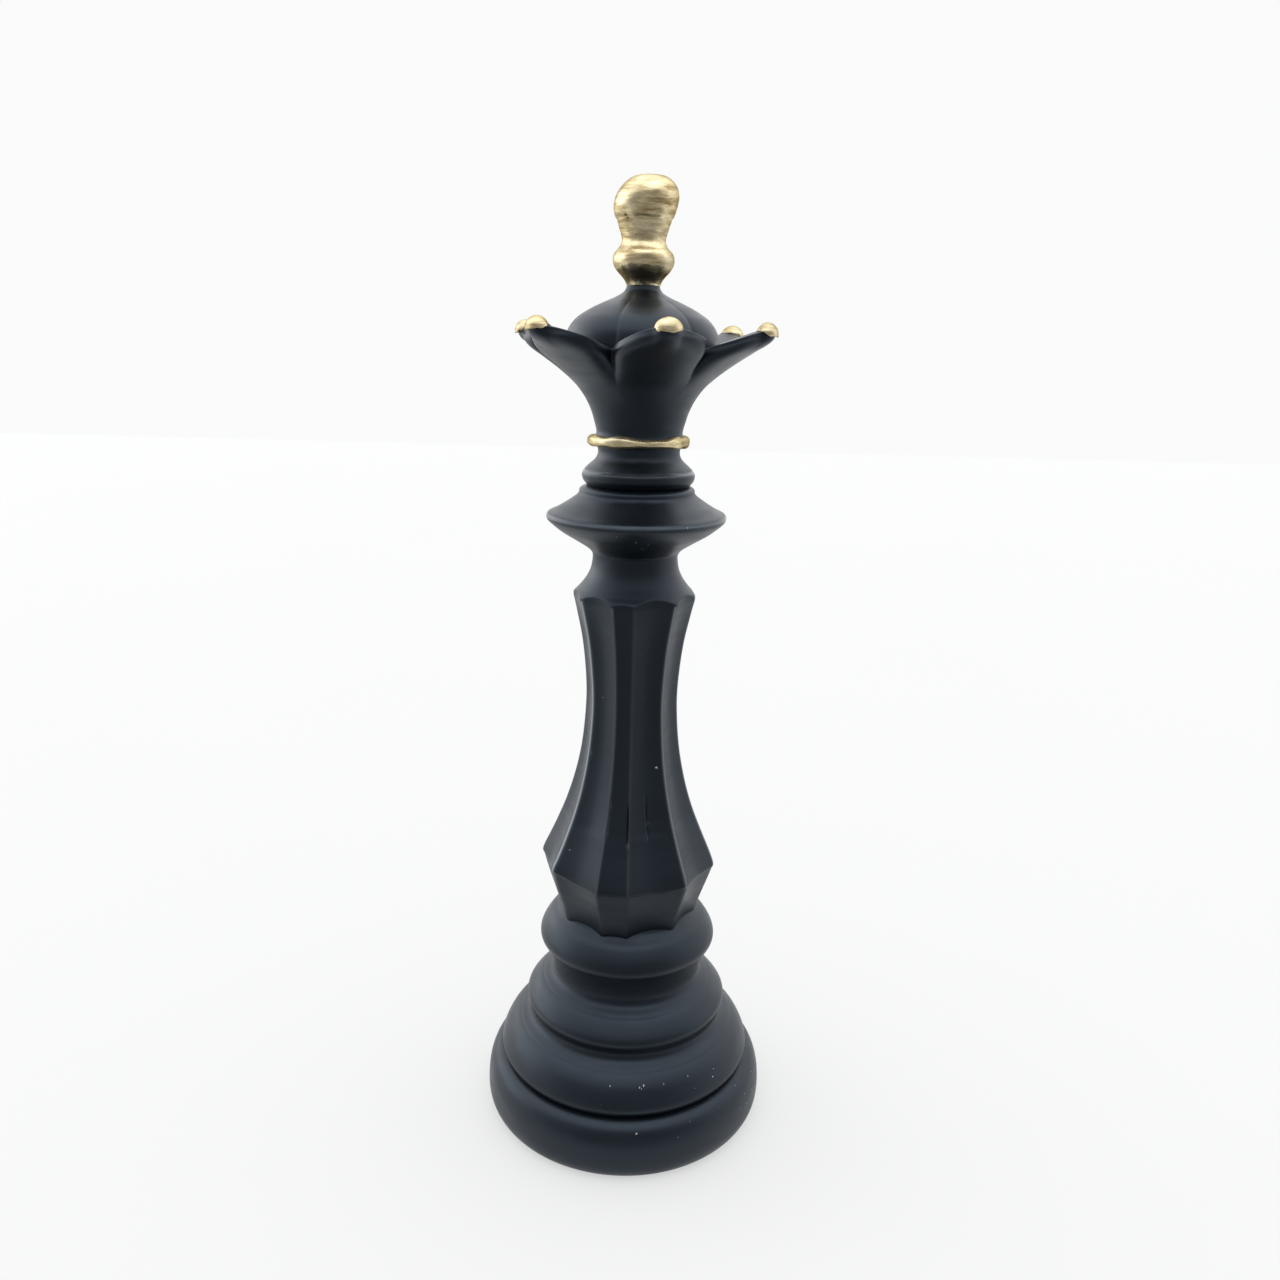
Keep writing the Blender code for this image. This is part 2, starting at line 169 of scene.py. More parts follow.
def ring_mesh(name, rings, poles=()):
    """A closed surface through rings of points. It ends in the poles, or joins up with its start."""
    bm = bmesh.new()
    rows = [[bm.verts.new([c * MM for c in point]) for point in ring] for ring in rings]
    pairs = list(zip(rows, rows[1:]))
    if not poles:
        pairs.append((rows[-1], rows[0]))
    for row, following in pairs:
        for a, b, c, d in zip(row, row[1:] + row[:1], following[1:] + following[:1], following):
            bm.faces.new((a, b, c, d))
    for pole, row in zip(poles, (rows[0], rows[-1])):
        centre = bm.verts.new([c * MM for c in pole])
        for a, b in zip(row, row[1:] + row[:1]):
            bm.faces.new((a, b, centre))
    bmesh.ops.recalc_face_normals(bm, faces=bm.faces)
    mesh = bpy.data.meshes.new(name)
    bm.to_mesh(mesh)
    bm.free()
    return mesh


def plain_rings(angles, outline):
    """Round sections for a hidden bore."""
    return [[at(angle, radius, height) for angle in angles] for radius, height in outline]


def turned_rings(runs, seed, shift=(0, 0), sway=0.12, ripple=0.15):
    """Hand-finished sections through an outline, given as smooth runs that meet in corners.

    The sway makes the radius uneven and the ripple the height, in millimetres.
    """
    rings = []
    for run in runs:
        for radius, height in curve_through(run):
            rings.append([
                at(angle, radius + sway * drift(angle, height, seed),
                   height + ripple * drift(angle, 0, seed + 9.3), shift)
                for angle in evenly(AROUND)
            ])
    return rings


# ---------------------------------------------------------------- materials


class Nodes:
    """A node tree, with short ways to add and join nodes."""

    def __init__(self, tree):
        self.tree = tree

    def add(self, kind, **settings):
        node = self.tree.nodes.new(kind)
        for key, value in settings.items():
            setattr(node, key, value)
        return node

    def join(self, source, target):
        self.tree.links.new(source, target)

    def ramp(self, source, low, high, out_low=0.0, out_high=1.0):
        """A source value taken smoothly from one range to another."""
        node = self.add("ShaderNodeMapRange", interpolation_type="SMOOTHSTEP")
        for key, value in (("From Min", low), ("From Max", high),
                           ("To Min", out_low), ("To Max", out_high)):
            node.inputs[key].default_value = value
        self.join(source, node.inputs["Value"])
        return node.outputs["Result"]

    def math(self, operation, first, second):
        node = self.add("ShaderNodeMath", operation=operation)
        for socket, value in zip(node.inputs, (first, second)):
            if isinstance(value, (int, float)):
                socket.default_value = value
            else:
                self.join(value, socket)
        return node.outputs["Value"]


class Paint(Nodes):
    """A material's nodes, placed by the object's own coordinates in metres."""

    def __init__(self, name):
        self.material = bpy.data.materials.new(name)
        self.material.use_nodes = True
        super().__init__(self.material.node_tree)
        self.shader = self.tree.nodes["Principled BSDF"]
        self.place = self.add("ShaderNodeTexCoord").outputs["Object"]

    def stretched(self, scale):
        """The object's coordinates, scaled along each axis."""
        mapping = self.add("ShaderNodeMapping")
        mapping.inputs["Scale"].default_value = scale
        self.join(self.place, mapping.inputs["Vector"])
        return mapping.outputs["Vector"]

    def noise(self, scale, detail=3.0, roughness=0.5, place=None, distortion=0.0):
        node = self.add("ShaderNodeTexNoise")
        node.inputs["Scale"].default_value = scale
        node.inputs["Detail"].default_value = detail
        node.inputs["Roughness"].default_value = roughness
        node.inputs["Distortion"].default_value = distortion
        self.join(place or self.place, node.inputs["Vector"])
        return node.outputs["Fac"]

    def mix(self, factor, first, second):
        """A colour between two, which are colours or sockets."""
        node = self.add("ShaderNodeMix", data_type="RGBA")
        self.join(factor, node.inputs["Factor"])
        for name, value in (("A", first), ("B", second)):
            socket = [s for s in node.inputs if s.name == name and s.type == "RGBA"][0]
            if isinstance(value, tuple):
                socket.default_value = value
            else:
                self.join(value, socket)
        return [s for s in node.outputs if s.type == "RGBA"][0]

    def specks(self, scale, size):
        """Sparse ragged flakes, 1 inside a flake."""
        node = self.add("ShaderNodeTexVoronoi")
        node.inputs["Scale"].default_value = scale
        shaky = self.add("ShaderNodeVectorMath", operation="MULTIPLY_ADD")
        wander = self.add("ShaderNodeTexNoise")
        wander.inputs["Scale"].default_value = scale * 6
        self.join(self.place, wander.inputs["Vector"])
        self.join(wander.outputs["Color"], shaky.inputs[0])
        shaky.inputs[1].default_value = (0.25 / scale,) * 3
        self.join(self.place, shaky.inputs[2])
        self.join(shaky.outputs["Vector"], node.inputs["Vector"])
        return self.ramp(node.outputs["Distance"], size * 0.6, size, 1.0, 0.0)

    def marks(self, spots):
        """1 inside small ragged spots, given as (direction, radius, height, size) in millimetres."""
        ragged = self.noise(3200, detail=2)
        total = None
        for angle, radius, height, size in spots:
            away = self.add("ShaderNodeVectorMath", operation="DISTANCE")
            self.join(self.place, away.inputs[0])
            away.inputs[1].default_value = [c * MM for c in at(angle, radius, height)]
            distance = self.math("ADD", away.outputs["Value"],
                                 self.ramp(ragged, 0.3, 0.7, 0.0, size * 0.8 * MM))
            inside = self.ramp(distance, size * 0.7 * MM, size * MM, 1.0, 0.0)
            total = inside if total is None else self.math("MAXIMUM", total, inside)
        return total

    def bump(self, height, distance, strength=1.0, normal=None):
        """A normal bent by a height, on top of an earlier bump's normal."""
        node = self.add("ShaderNodeBump")
        node.inputs["Strength"].default_value = strength
        node.inputs["Distance"].default_value = distance
        self.join(height, node.inputs["Height"])
        if normal is not None:
            self.join(normal, node.inputs["Normal"])
        return node.outputs["Normal"]

    def finish(self, **sockets):
        """Sets the shader's sockets, from a plain value or another node."""
        for key, value in sockets.items():
            socket = self.shader.inputs[key.replace("_", " ")]
            if isinstance(value, bpy.types.NodeSocket):
                self.join(value, socket)
            else:
                socket.default_value = value
        return self.material


WEAR_AND_HIGHLIGHT_ATTRIBUTE = "wear_and_painted_highlight"  # the mesh attribute that says how far a ridge is rubbed smoother and lightened to a pale line, a painted highlight
# Pale flakes on the black paint and chips in the gold: (direction, radius, height, size).
FLAKES = (
    (20.8, 16.9, 138.5, 0.7),
    (-3.0, 43.1, 31.4, 0.4), (-1.2, 42.8, 31.8, 0.5), (8.5, 43.0, 31.5, 0.4),
    (-16.5, 42.8, 31.7, 0.4), (34.6, 45.1, 28.1, 0.45), (-4.9, 49.5, 18.0, 0.5),
    (-2.2, 43.4, 31.0, 0.3), (36.5, 44.0, 30.0, 0.3), (-20.0, 45.8, 26.2, 0.3),
)
CHIPS = (
    (-53, 8.7, 317.3, 1.1), (-50, 8.5, 316.5, 0.9), (-31, 7.3, 311.6, 0.6),
    (-33, 7.2, 310.6, 0.6), (160, 9.6, 320.0, 1.0),
)
# Painted shade: a ragged dark band low on the knob, under its lower bead, between these heights in
# metres.
UNDERSIDE_SHADE_FROM = 0.2972
UNDERSIDE_SHADE_TO = 0.3030


def satin_black():
    """Satin black paint: faint brush lines, an uneven sheen, dust, flakes, and rubbed edges and
    ridges lightened as painted highlights.
    """
    paint = Paint("satin_black")
    broad = paint.noise(35, detail=4)
    lines = paint.noise(420, detail=4, place=paint.stretched((0.22, 0.22, 1.0)))
    grain = paint.noise(2600, detail=2)
    # Convex places, rubbed smoother, whose colour is also lightened as a painted highlight.
    edges = paint.ramp(paint.add("ShaderNodeNewGeometry").outputs["Pointiness"], 0.53, 0.62)
    wear_and_painted_highlight = paint.add("ShaderNodeAttribute", attribute_name=WEAR_AND_HIGHLIGHT_ATTRIBUTE).outputs["Fac"]
    dust = paint.math("MULTIPLY", paint.specks(330, 0.075), paint.ramp(paint.noise(30), 0.60, 0.64))
    colour = paint.mix(broad, (0.0010, 0.0018, 0.0034, 1), (0.0022, 0.0036, 0.0060, 1))
    # Painted highlight: convex edges lightened.
    colour = paint.mix(paint.math("MULTIPLY", edges, 0.5), colour, (0.065, 0.073, 0.085, 1))
    # Painted highlight: rubbed ridges lightened to pale lines.
    colour = paint.mix(paint.math("MULTIPLY", wear_and_painted_highlight, 0.8), colour, (0.34, 0.36, 0.39, 1))
    colour = paint.mix(paint.math("MAXIMUM", dust, paint.marks(FLAKES)), colour, (0.5, 0.5, 0.48, 1))
    sheen = paint.math("ADD", paint.ramp(broad, 0.3, 0.7, 0.36, 0.43),
                       paint.ramp(lines, 0.3, 0.7, -0.03, 0.03))
    rubbed = paint.math("MAXIMUM", edges, wear_and_painted_highlight)
    sheen = paint.math("SUBTRACT", sheen, paint.math("MULTIPLY", rubbed, 0.2))
    normal = paint.bump(lines, 0.00004, 0.35)
    normal = paint.bump(grain, 0.00001, 0.3, normal)
    return paint.finish(
        Base_Color=colour, Roughness=sheen, Normal=normal, Specular_IOR_Level=0.5,
        Specular_Tint=(0.64, 0.80, 1.0, 1),
    )


def brushed_gold():
    """Pale gold paint brushed over the black, with streaks round the axis, bare spots and a painted
    shade band low on the knob.
    """
    paint = Paint("brushed_gold")
    streaks = paint.noise(520, detail=6, roughness=0.65, place=paint.stretched((0.2, 0.2, 1.0)),
                          distortion=0.2)
    patches = paint.noise(120, detail=3)
    grain = paint.noise(2200, detail=2)
    colour = paint.mix(paint.ramp(streaks, 0.3, 0.72), (0.27, 0.195, 0.085, 1), (0.90, 0.77, 0.48, 1))
    colour = paint.mix(paint.ramp(patches, 0.35, 0.75, 0.0, 0.35), colour, (0.95, 0.89, 0.68, 1))
    bare_and_shade = paint.math("MULTIPLY", paint.ramp(streaks, 0.22, 0.30, 1.0, 0.0),
                      paint.ramp(patches, 0.42, 0.5, 1.0, 0.0))
    axes = paint.add("ShaderNodeSeparateXYZ")
    paint.join(paint.place, axes.inputs["Vector"])
    ragged = paint.ramp(paint.noise(260), 0.2, 0.8, -0.0014, 0.0014)
    height = paint.math("ADD", axes.outputs["Z"], ragged)
    # Painted shade: a dark band under the knob's lower bead.
    underside_shade = paint.math("MULTIPLY", paint.ramp(height, UNDERSIDE_SHADE_FROM, UNDERSIDE_SHADE_FROM + 0.0012),
                        paint.ramp(height, UNDERSIDE_SHADE_TO - 0.0026, UNDERSIDE_SHADE_TO, 1.0, 0.0))
    bare_and_shade = paint.math("MAXIMUM", bare_and_shade, paint.math("MULTIPLY", underside_shade, 0.75))
    bare_and_shade = paint.math("MAXIMUM", bare_and_shade, paint.marks(CHIPS))
    # Bare spots, chips and the painted shade band darken the gold.
    colour = paint.mix(bare_and_shade, colour, (0.05, 0.036, 0.018, 1))
    rough = paint.ramp(streaks, 0.25, 0.75, 0.40, 0.20)
    normal = paint.bump(streaks, 0.00022, 0.6)
    normal = paint.bump(grain, 0.00003, 0.5, normal)
    return paint.finish(
        Base_Color=colour, Roughness=rough, Metallic=0.92, Normal=normal,
        Specular_Tint=(0.42, 0.38, 0.30, 1),
    )


def zinc_steel():
    """Zinc-plated steel with a faint spangle and a matt wear."""
    metal = Paint("zinc_steel")
    spangle = metal.noise(900, detail=3)
    colour = metal.mix(spangle, (0.50, 0.51, 0.53, 1), (0.70, 0.71, 0.72, 1))
    rough = metal.ramp(metal.noise(300), 0.3, 0.7, 0.25, 0.45)
    return metal.finish(Base_Color=colour, Roughness=rough, Metallic=1.0,
                        Normal=metal.bump(spangle, 0.00003))


def cast_iron():
    """Raw grey iron with a sand-cast skin."""
    metal = Paint("cast_iron")
    skin = metal.noise(700, detail=6, roughness=0.65)
    colour = metal.mix(metal.noise(90), (0.07, 0.068, 0.066, 1), (0.15, 0.12, 0.10, 1))
    rough = metal.ramp(skin, 0.3, 0.7, 0.6, 0.85)
    return metal.finish(Base_Color=colour, Roughness=rough, Metallic=0.5,
                        Normal=metal.bump(skin, 0.0002))


def fibreboard():
    """Brown board with short pressed fibres."""
    board = Paint("fibreboard")
    fibres = board.noise(1500, detail=4, place=board.stretched((1.0, 0.25, 0.6)), distortion=0.8)
    colour = board.mix(board.ramp(fibres, 0.35, 0.65), (0.24, 0.15, 0.08, 1), (0.46, 0.33, 0.20, 1))
    return board.finish(Base_Color=colour, Roughness=0.85, Normal=board.bump(fibres, 0.00008))


def black_felt():
    """Pressed black felt with matted hairs."""
    felt = Paint("black_felt")
    hairs = felt.noise(2600, detail=5, roughness=0.7, distortion=1.2)
    colour = felt.mix(felt.ramp(hairs, 0.35, 0.7), (0.010, 0.010, 0.012, 1), (0.05, 0.05, 0.055, 1))
    return felt.finish(Base_Color=colour, Roughness=0.95, Sheen_Weight=0.4,
                       Normal=felt.bump(hairs, 0.00025))


BLACK = satin_black()
GOLD = brushed_gold()


# ---------------------------------------------------------------- base


def felt_pad():
    """The pad under the foot, soft at its rim."""
    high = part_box("felt_pad")[1]
    radius = high.x / MM
    top = high.z / MM
    runs = [
        [(0.6, top), (radius * 0.5, top), (radius - 0.5, top)],
        [(radius - 0.5, top), (radius - 0.05, top - 0.4), (radius, top / 2), (radius - 0.3, 0.25),
         (radius - 1.0, 0.02)],
        [(radius - 1.0, 0.02), (radius * 0.5, 0.06), (0.6, 0.06)],
    ]
    rings = turned_rings(runs, 3.1, sway=0.1, ripple=0.02)
    mesh = ring_mesh("felt_disc", rings, poles=((0, 0, top), (0, 0, 0.06)))
    add_piece("felt_disc", mesh, black_felt(), "felt_pad")


def black_turned(name, node, runs, bore, seed, shift=(0, 0), sway=0.12, ripple=0.15):
    """A black turned casting: hand-finished outside, plain bore."""
    rings = turned_rings(runs, seed, shift, sway, ripple)
    rings += plain_rings(evenly(AROUND), bore)
    add_piece(name, ring_mesh(name, rings), BLACK, node)


def base_castings():
    """The foot, the two bulging steps and the cushion ring above them."""
    ledge = PLATE_TOP + GAP
    black_turned("foot", "foot_ring", [
        [(43.6, FOOT_JOINT), (45.4, 20.8), (47.2, 20.2), (49.0, 18.8), (50.4, 16.4), (51.4, 12.8),
         (FOOT_RADIUS, 8.0), (51.6, 4.8), (50.9, 2.6), (49.7, 1.0), (48.0, 0.5)],
    ], [
        (PLATE_RADIUS + GAP, 0.5), (PLATE_RADIUS + GAP, ledge), (FOOT_BORE, ledge),
        (FOOT_BORE, FOOT_JOINT),
    ], seed=1.3, shift=leftwards(0.1), sway=0.1, ripple=0.05)
    black_turned("lower_step", "lower_tier", [
        [(33.6, TIER_JOINT), (36.0, 35.5), (38.4, 35.0), (40.8, 33.7), (43.3, 31.1), (45.2, 27.9),
         (46.4, 24.8), (46.3, 23.0), (45.4, 21.7), (44.4, FOOT_JOINT - SINK)],
    ], [
        (FOOT_BORE - GAP, FOOT_JOINT), (FOOT_BORE - GAP, FOOT_JOINT - SPIGOT_LENGTH),
        (36.3, FOOT_JOINT - SPIGOT_LENGTH), (36.3, 26.0), (TIER_BORE, 30.0), (TIER_BORE, TIER_JOINT),
    ], seed=4.7, shift=leftwards(0.15), ripple=0.05)
    black_turned("upper_step", "upper_tier", [
        [(25.2, TORUS_JOINT), (27.2, 51.9), (29.6, 51.2), (32.2, 49.8), (34.6, 47.4), (36.3, 45.2),
         (36.9, 43.8), (36.7, 42.2), (36.0, 40.5), (35.6, 38.9), (36.0, 37.3), (37.2, 36.1),
         (39.2, 34.9), (40.6, 33.6)],
    ], [
        (TIER_BORE - GAP, TIER_JOINT), (TIER_BORE - GAP, TIER_JOINT - SPIGOT_LENGTH),
        (28.0, TIER_JOINT - SPIGOT_LENGTH), (26.0, 43.0), (ROD_HOLE, 43.0), (ROD_HOLE, 49.0),
        (LOWER_SPIGOT + GAP, 49.0), (LOWER_SPIGOT + GAP, TORUS_JOINT),
    ], seed=8.2, ripple=0.05)
    black_turned("cushion_ring", "torus_ring", [
        [(22.4, COLUMN_JOINT), (24.2, 79.3), (26.0, 77.8), (28.3, 76.0), (30.5, 73.0), (31.8, 70.4),
         (32.2, 68.6), (31.9, 67.0), (30.6, 64.8), (29.0, 61.8), (27.8, 58.8), (27.2, 56.2),
         (27.2, 54.4), (27.9, 52.9), (29.2, 51.85), (30.6, 50.95), (32.4, 49.3)],
    ], [
        (LOWER_SPIGOT, TORUS_JOINT), (LOWER_SPIGOT, TORUS_JOINT - SPIGOT_LENGTH),
        (ROD_HOLE, TORUS_JOINT - SPIGOT_LENGTH), (ROD_HOLE, 77.0), (LOWER_SPIGOT + GAP, 77.0),
        (LOWER_SPIGOT + GAP, COLUMN_JOINT),
    ], seed=11.9, ripple=0.05)


# ---------------------------------------------------------------- column

RIDGES = (-105, -68, -30, -10, 30, 69, 107, 145, 183, 221)
# How widely each ridge is rubbed round, in millimetres.
RIDGE_ROUNDING = (1.3, 1.9, 0.5, 0.35, 1.1, 1.3, 1.0, 1.2, 0.9, 1.1)
# How far each ridge is rubbed and lightened to a pale line, a painted highlight.
RIDGE_WEAR_AND_HIGHLIGHT = (0.3, 1.0, 0.15, 0.08, 0.5, 0.3, 0.25, 0.25, 0.25, 0.25)
WEAR_AND_HIGHLIGHT_WIDTH = 0.5
FLUTE_HOLLOW = 0.038  # how far a flute is cut below a flat facet, as a share of the radius
STEPS_PER_FLUTE = 32
FULL_FLUTE = 16  # half the angle of the narrowest flute that is cut to its full depth
FADE_FROM = 184.0  # the hollows get shallower from here to the top of the shaft
SHAFT_TOP = 197.0  # the ridges end here; the flutes run out higher up, through the shoulder
SHOULDER = 21.4
SKIRT_EDGE = 97.4
LEDGE = 115.0  # the flutes are cut a little deeper above this
# The skirt's hand-cut lower edge: how far it lifts at each direction.
EDGE_LIFT = (
    (-150, 0), (-122, 0.5), (-105, 0.9), (-87, 0.2), (-68, 1.9), (-50, 0), (-30, 0), (-10, 0.6),
    (17, -0.6), (30, 0.7), (50, 0), (69, 0), (88, 0.5), (107, 0.1), (126, 0.6), (145, 0.2),
    (183, 0.6), (210, 0),
)
# Thin knife cuts low on the shaft: (direction, lower end, upper end, depth).
CUTS = ((-28.5, 115, 129, 0.3), (-11.3, 113.5, 127, 0.9), (7, 114.5, 129, 0.45))
CUT_HALF_WIDTH = 0.45
CUT_PLACES = (-1.2, -0.6, 0, 0.6, 1.2)  # extra columns of faces beside a cut, in degrees


def flute_places():
    """(angle, place across its flute from -1 to 1, half its angle, nearby rounding, and nearby
    rubbing with its painted highlight).
    """
    places = []
    ridges = list(zip(RIDGES, RIDGE_ROUNDING, RIDGE_WEAR_AND_HIGHLIGHT))
    ridges.append((RIDGES[0] + 360, RIDGE_ROUNDING[0], RIDGE_WEAR_AND_HIGHLIGHT[0]))
    for (start, *near), (end, *far) in zip(ridges, ridges[1:]):
        half = (end - start) / 2
        shares = [2 * number / STEPS_PER_FLUTE - 1 for number in range(STEPS_PER_FLUTE)]
        shares = [math.copysign(abs(t) ** 0.8, t) for t in shares]
        for direction, *_ in CUTS:
            cut = [(direction + offset - start) / half - 1 for offset in CUT_PLACES]
            shares += [t for t in cut if -0.99 < t < 0.99]
        for t in sorted(shares):
            places.append(((start + end) / 2 + t * half, t, half, *(near if t < 0 else far)))
    return places


def flute_depth(t, half, rounding, radius, height):
    """How deep a flute is below its ridges' radius, in millimetres."""
    width = math.radians(half)
    facet = 1 - math.cos(width) / math.cos(t * width)
    hollow = FLUTE_HOLLOW * (1 + 0.3 * smooth_step(LEDGE - 1, LEDGE + 2, height))
    hollow *= (1 - abs(t) ** 1.8) * min(1.0, (half / FULL_FLUTE) ** 3)
    hollow *= 1 - 0.5 * smooth_step(FADE_FROM, SHAFT_TOP, height)
    from_ridge = (1 - abs(t)) * width * radius / rounding
    rubbed = 0.28 * rounding * max(0.0, 1 - from_ridge) ** 2
    return radius * (facet + hollow) + rubbed


def cut_depth(angle, radius, height):
    """How deep the thin knife cuts go at a place on the shaft."""
    depth = 0.0
    for direction, low, high, deepest in CUTS:
        across = math.radians(angle - direction) * radius / CUT_HALF_WIDTH
        if abs(across) < 1 and low < height < high:
            ends = math.sin(math.pi * (height - low) / (high - low)) ** 0.4
            depth += deepest * (1 - across * across) * ends
    return depth


def fluted_column():
    """The fluted shaft, its undercut skirt and the round neck."""
    shift = leftwards(0.35)
    underside = [(22.6, COLUMN_JOINT), (23.9, 79.0), (25.2, 77.2)]
    undercut = [(25.2, 77.2), (25.9, 80.0), (27.2, 84.2), (28.9, 89.2), (30.6, 94.2), (31.5, 97.1)]
    shaft = [
        (31.8, SKIRT_EDGE), (31.9, 98.0), (31.5, 99.6), (30.0, 103.5), (26.3, 112.0), (23.0, 120.5),
        (20.3, 129.5), (18.2, 139.5), (17.0, 149.5), (16.5, 160.0), (17.0, 170.0), (18.2, 180.5),
        (20.1, 190.0), (SHOULDER, 195.6),
    ]
    neck = [
        (SHOULDER, 196.0), (20.9, SHAFT_TOP), (19.0, 199.0), (16.7, 202.0), (15.1, 205.4),
        (14.5, 209.0), (14.6, SAUCER_JOINT),
    ]
    places = flute_places()
    rings = []
    wear_and_highlight = []
    for run in (underside, undercut, shaft, neck):
        for radius, height in curve_through(run, step=0.4 if run is neck else 0.7):
            ring = []
            for angle, t, half, rounding, ridge_wear_and_highlight in places:
                # Painted highlight: a pale line along each rubbed ridge, kept in the mesh attribute.
                from_ridge = (1 - abs(t)) * math.radians(half) * radius / WEAR_AND_HIGHLIGHT_WIDTH
                wear_and_highlight.append(ridge_wear_and_highlight * math.exp(-from_ridge ** 2) if run is shaft else 0.0)
                ridge = SHOULDER if run is neck else radius
                fluted = ridge - flute_depth(t, half, rounding, ridge, height)
                r = min(radius, fluted) - cut_depth(angle, radius, height)
                r += 0.12 * drift(angle, height, 15.1, 1.6)
                lift = between(EDGE_LIFT, angle) * math.exp(-((height - SKIRT_EDGE) / 5) ** 2)
                ring.append(at(angle, r, height + lift, shift))
            rings.append(ring)
    recess = SAUCER_JOINT - SPIGOT_LENGTH - GAP
    rings += plain_rings([angle for angle, *_ in places], [
        (UPPER_SPIGOT + GAP, SAUCER_JOINT), (UPPER_SPIGOT + GAP, recess), (ROD_HOLE, recess),
        (ROD_HOLE, 200.0), (10.0, 194.0), (10.0, 92.0), (ROD_HOLE, 86.0),
        (ROD_HOLE, COLUMN_JOINT - SPIGOT_LENGTH), (LOWER_SPIGOT, COLUMN_JOINT - SPIGOT_LENGTH),
        (LOWER_SPIGOT, COLUMN_JOINT),
    ])
    mesh = ring_mesh("shaft", rings)
    attribute = mesh.attributes.new(WEAR_AND_HIGHLIGHT_ATTRIBUTE, "FLOAT", "POINT")
    for vertex, value in zip(attribute.data, wear_and_highlight):
        vertex.value = value
    add_piece("shaft", mesh, BLACK, "fluted_column")


# ---------------------------------------------------------------- collars


def collars():
    """The wide collar, and the bead with its neck."""
    black_turned("wide_collar", "saucer_collar", [
        [(16.6, BEAD_JOINT), (18.4, 233.2), (19.3, 232.4), (19.4, 231.6)],
        [(19.4, 231.4), (20.2, 230.3), (23.1, 228.2), (27.0, 225.8), (29.7, 224.5), (30.3, 223.6)],
        [(30.3, 223.6), (30.2, 222.6), (29.0, 221.2), (25.2, 218.2), (20.2, 215.2), (16.6, 212.9),
         (15.0, 211.4), (14.7, SAUCER_JOINT - SINK)],
    ], [
        (UPPER_SPIGOT, SAUCER_JOINT), (UPPER_SPIGOT, SAUCER_JOINT - SPIGOT_LENGTH),
        (ROD_HOLE, SAUCER_JOINT - SPIGOT_LENGTH), (ROD_HOLE, 230.5), (UPPER_SPIGOT + GAP, 230.5),
        (UPPER_SPIGOT + GAP, BEAD_JOINT),
    ], seed=21.4, shift=leftwards(0.35), ripple=0.35)
    black_turned("bead", "bead_collar", [
        [(15.3, CROWN_JOINT), (14.4, 247.0), (13.7, 245.6), (13.7, 244.0), (14.6, 242.2),
         (16.9, 240.1), (18.5, 238.4)],
        [(18.5, 238.4), (18.9, 237.4), (18.6, 235.6), (17.7, 234.4), (16.9, BEAD_JOINT - SINK)],
    ], [
        (UPPER_SPIGOT, BEAD_JOINT), (UPPER_SPIGOT, BEAD_JOINT - SPIGOT_LENGTH),
        (ROD_HOLE, BEAD_JOINT - SPIGOT_LENGTH), (ROD_HOLE, 245.0), (UPPER_SPIGOT + GAP, 245.0),
        (UPPER_SPIGOT + GAP, CROWN_JOINT),
    ], seed=25.8, ripple=0.25)


def gilt_ring():
    """The brushed ring over the joint under the crown, uneven in height and width."""
    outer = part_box("neck_ring")[1].x / MM
    middle = 14.2
    shift = leftwards(0.3)
    section = curve_through([
        (13.4, 1.6), (15.6, 1.9), (16.7, 1.2), (17.1, 0.1), (16.8, -1.1), (15.6, -1.8), (13.4, -1.6),
    ], step=0.35)
    rings = []
    for radius, rise in section:
        ring = []
        for angle in evenly(AROUND):
            wave = 0.8 * drift(angle, 0, 31.0, 1.8) - 0.35 * math.sin(math.radians(angle - 40))
            full = 0.9 + 0.5 * drift(angle, 0, 35.0, 2.4)
            r = middle + (radius - middle) * (1 + 0.1 * drift(angle, rise * 8, 38.0, 3.0))
            ring.append(at(angle, min(r, outer), CROWN_JOINT + wave + rise * full, shift))
        rings.append(ring)
    add_piece("gilt_ring", ring_mesh("gilt_ring", rings), GOLD, "neck_ring")


# ---------------------------------------------------------------- crown

POINTS = 6
HALF_POINT = 180 / POINTS
CUP = (
    (15.6, 248.2), (14.6, 249.8), (14.3, 251.4), (15.1, 254.5), (16.2, 258.0), (18.2, 262.0),
    (21.2, 266.0),
)


def radius_by_height(outline):
    """A smooth table of an outline's radius at each height."""
    return smooth_table([(height, radius) for radius, height in outline])


POINT_UNDERSIDE = radius_by_height((
    *CUP, (25.8, 270.0), (31.4, 274.0), (37.4, 278.0), (41.6, 281.0), (43.6, 282.6),
))
VALLEY_UNDERSIDE = radius_by_height((
    *CUP, (22.9, 268.0), (24.3, 270.0), (25.1, 272.0), (25.5, 274.0), (26.1, 277.0),
))
# From the middle of a point (0) to the valley (1): the rim's plan and its height. Every point runs
# straight to the valley on its left side (-1) and has a full shoulder on its right side (1).
RIM_PLAN = {
    -1: smooth_table([
        (0, 43.6), (0.08, 43.2), (0.15, 41.9), (0.21, 40.2), (0.32, 38.6), (0.5, 36.2), (0.7, 33.0),
        (0.87, 29.4), (1.0, 26.3),
    ]),
    1: smooth_table([
        (0, 43.6), (0.08, 43.2), (0.15, 41.9), (0.21, 40.2), (0.32, 39.0), (0.5, 37.8), (0.68, 36.2),
        (0.77, 34.8), (0.87, 30.8), (1.0, 26.3),
    ]),
}
RIM_HEIGHT = {
    -1: smooth_table([
        (0, 283.4), (0.15, 283.2), (0.25, 282.9), (0.5, 281.2), (0.7, 279.7), (0.87, 278.4),
        (1.0, 277.3),
    ]),
    1: smooth_table([
        (0, 283.4), (0.15, 283.2), (0.25, 283.0), (0.5, 281.9), (0.7, 280.8), (0.79, 280.0),
        (0.89, 278.4), (1.0, 277.3),
    ]),
}
